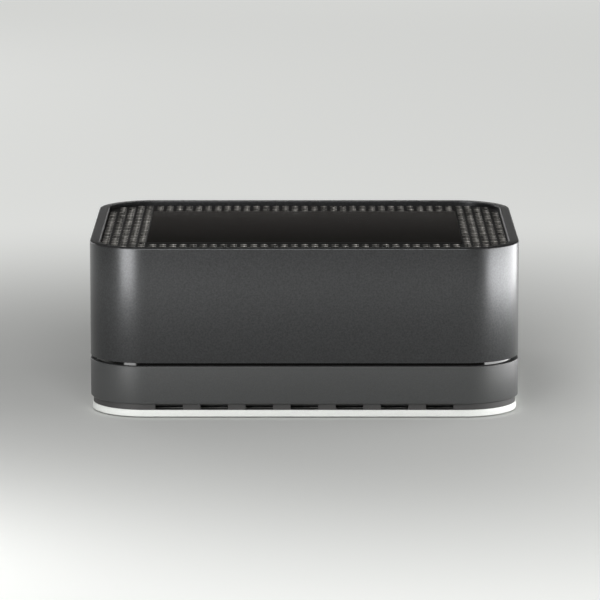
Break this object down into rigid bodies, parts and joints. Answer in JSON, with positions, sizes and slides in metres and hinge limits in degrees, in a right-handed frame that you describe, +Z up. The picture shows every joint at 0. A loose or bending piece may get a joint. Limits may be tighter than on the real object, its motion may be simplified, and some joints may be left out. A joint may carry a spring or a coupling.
{
  "type": "network music streamer",
  "caption": "Low rounded-box network music streamer with a recessed perforated top, black touch glass, shadow gap, vented skirt and a rear bay of audio and network sockets.",
  "frame": {"origin": "middle of the underside, on the surface that the rubber pads stand on", "axes": "+X to the right seen from the front, +Y to the back, +Z up"},
  "size_m": [0.22, 0.166, 0.0875],
  "materials": {
    "white_plastic": "white, fine matt",
    "dark_rubber": "matt",
    "steel_screws": "zinc plated",
    "skirt_plastic": "dark grey, matt",
    "band_plastic": "dark grey, satin",
    "gloss_trim": "black, polished",
    "housing_plastic": "dark grey, satin with a fine grain",
    "grille_paint": "black, satin paint",
    "black_glass": "black backed, polished",
    "board_laminate": "green solder mask",
    "chassis_steel": "galvanised",
    "spacer_brass": "plain",
    "white_nylon": "natural",
    "chip_moulding": "matt black",
    "sink_aluminium": "black anodised",
    "shield_can": "tin plated",
    "core_iron": "sintered, matt",
    "coil_tape": "yellow tape",
    "capacitor_sleeve": "shrink sleeve",
    "ribbon_film": "amber film",
    "panel_plastic": "black, fine matt",
    "socket_plastic": "black",
    "nickel_plate": "nickel plated",
    "gold_plate": "gold plated",
    "button_plastic": "dark grey"
  },
  "bodies": {
    "case": {"base_plate": "white_plastic", "rubber_pads": "dark_rubber", "case_screws": "steel_screws", "vent_skirt": "skirt_plastic", "lower_band": "band_plastic", "trim_ring": "gloss_trim", "upper_housing": "housing_plastic", "top_grille": "grille_paint", "touch_glass": "black_glass", "sensor_board": "board_laminate", "chassis": "chassis_steel", "main_board": "board_laminate", "power_board": "board_laminate", "board_spacers": "spacer_brass", "board_screws": "steel_screws", "board_clips": "white_nylon", "processor": "chip_moulding", "heat_sink": "sink_aluminium", "radio_module": "shield_can", "aerial_strips": "board_laminate", "transformer_core": "core_iron", "transformer_coil": "coil_tape", "capacitors": "capacitor_sleeve", "ribbon_plug": "white_nylon", "sensor_ribbon": "ribbon_film", "bay_frame": "panel_plastic", "rear_panel": "panel_plastic", "mains_inlet": "socket_plastic", "inlet_pins": "nickel_plate", "push_switch": "socket_plastic", "network_socket": "socket_plastic", "network_contacts": "gold_plate", "usb_shell": "nickel_plate", "usb_tongue": "white_nylon", "optical_socket": "socket_plastic", "line_jack": "socket_plastic", "phono_block": "socket_plastic", "phono_sleeves": "gold_plate", "phono_cores": "white_nylon"},
    "setup_button": {"setup_button": "button_plastic"},
    "optical_door": {"optical_door": "button_plastic"}
  },
  "joints": [
    {"name": "setup_button_push", "type": "slide", "parent": "case", "child": "setup_button", "axis": [0, -1, 0], "range_m": [0, 0.0008], "stiffness_N_per_m": 600, "springref_m": -0.0004},
    {"name": "optical_door_swing", "type": "hinge", "parent": "case", "child": "optical_door", "pos_m": [0.0178, 0.0721, 0.0519], "axis": [-1, 0, 0], "range_deg": [0, 80], "stiffness_Nm_per_rad": 0.002, "springref_deg": -17.19}
  ]
}
